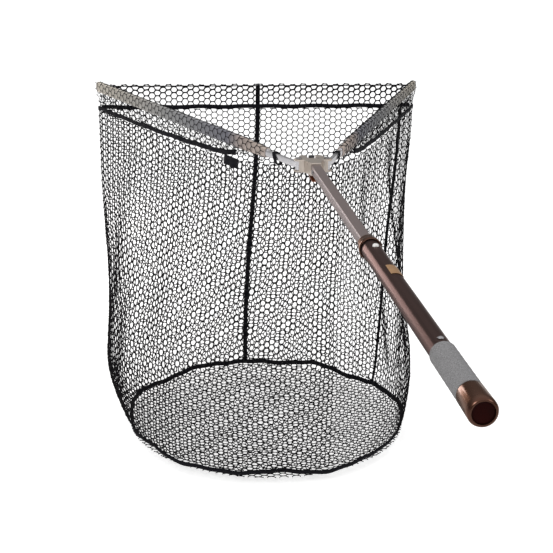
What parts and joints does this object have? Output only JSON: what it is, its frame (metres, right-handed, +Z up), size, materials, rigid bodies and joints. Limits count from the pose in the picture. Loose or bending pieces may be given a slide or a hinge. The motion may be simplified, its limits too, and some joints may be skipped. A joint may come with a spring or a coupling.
{
  "type": "landing net",
  "caption": "Folding landing net: telescopic handle with a foam grip, hinged triangular head on two arms, deep hexagonal-mesh bag with a round taped floor.",
  "frame": {"origin": "on the handle's axis, in the middle of the foam grip, where the hand holds it", "axes": "+Y along the handle from the grip to the head, +X to the right of the head, +Z up, away from the hanging bag"},
  "size_m": [0.6286, 1.5482, 0.5781],
  "materials": {
    "bronze_tube": "metallic dark bronze",
    "taupe_tube": "satin taupe bronze",
    "copper": "polished copper brown",
    "champagne": "satin champagne",
    "silver": "bright cast",
    "steel": "plain",
    "black_plastic": "matte",
    "white_plastic": "gloss",
    "foam": "fine foam",
    "label": "satin gold, blank",
    "lever_bronze": "orange bronze",
    "end_disc": "dark",
    "mesh": "knotless hexagonal mesh",
    "tape": "woven tape",
    "cord": "braided cord"
  },
  "bodies": {
    "handle": {"outer_tube": "bronze_tube", "collar": "copper", "guide_bush": "black_plastic", "grip": "foam", "butt_cap": "copper", "end_disc": "end_disc", "tube_plug": "black_plastic", "label_plate": "label", "grip_rivet": "steel"},
    "extension": {"inner_tube": "taupe_tube", "guide_plug": "black_plastic", "button_spring": "steel", "yoke": "champagne", "yoke_rivet": "steel", "pivot_pin_left": "steel", "pivot_pin_right": "steel", "cross_pin": "steel", "lever_spring": "steel", "net_wall": "mesh", "net_floor": "mesh", "ring_tape": "tape", "side_tape": "tape", "back_tape": "tape", "far_hem": "mesh", "hem_tape": "tape", "tip_cord": "cord", "net_tag": "tape"},
    "button": {"lock_button": "white_plastic"},
    "lever": {"release_pawl": "black_plastic", "release_lever": "lever_bronze"},
    "arm_left": {"link_left": "silver", "arm_tube_left": "champagne", "arm_rivet_left": "steel", "arm_tip_left": "black_plastic", "sleeve_left": "mesh", "mouth_tape_left": "tape", "strap_left": "tape"},
    "arm_right": {"link_right": "silver", "arm_tube_right": "champagne", "arm_rivet_right": "steel", "arm_tip_right": "black_plastic", "sleeve_right": "mesh", "mouth_tape_right": "tape", "strap_right": "tape"}
  },
  "joints": [
    {"name": "extension_slide", "type": "slide", "parent": "handle", "child": "extension", "axis": [0, 1, 0], "range_m": [-0.34, 0], "deforming": ["lock_button", "button_spring"]},
    {"name": "lock_button_press", "type": "slide", "parent": "extension", "child": "button", "axis": [0, 0, -1], "range_m": [0, 0.0035], "stiffness_N_per_m": 900, "deforming": ["button_spring"]},
    {"name": "release_lever_hinge", "type": "hinge", "parent": "extension", "child": "lever", "pos_m": [0, 0.785, 0], "axis": [-1, 0, 0], "range_deg": [0, 7], "stiffness_Nm_per_rad": 0.6},
    {"name": "arm_left_hinge", "type": "hinge", "parent": "extension", "child": "arm_left", "pos_m": [-0.02, 0.771, 0], "axis": [0, 0, -1], "range_deg": [0, 22], "deforming": ["far_hem", "hem_tape", "tip_cord"]},
    {"name": "arm_right_hinge", "type": "hinge", "parent": "extension", "child": "arm_right", "pos_m": [0.02, 0.771, 0], "axis": [0, 0, 1], "range_deg": [0, 22], "deforming": ["far_hem", "hem_tape", "tip_cord"]}
  ]
}
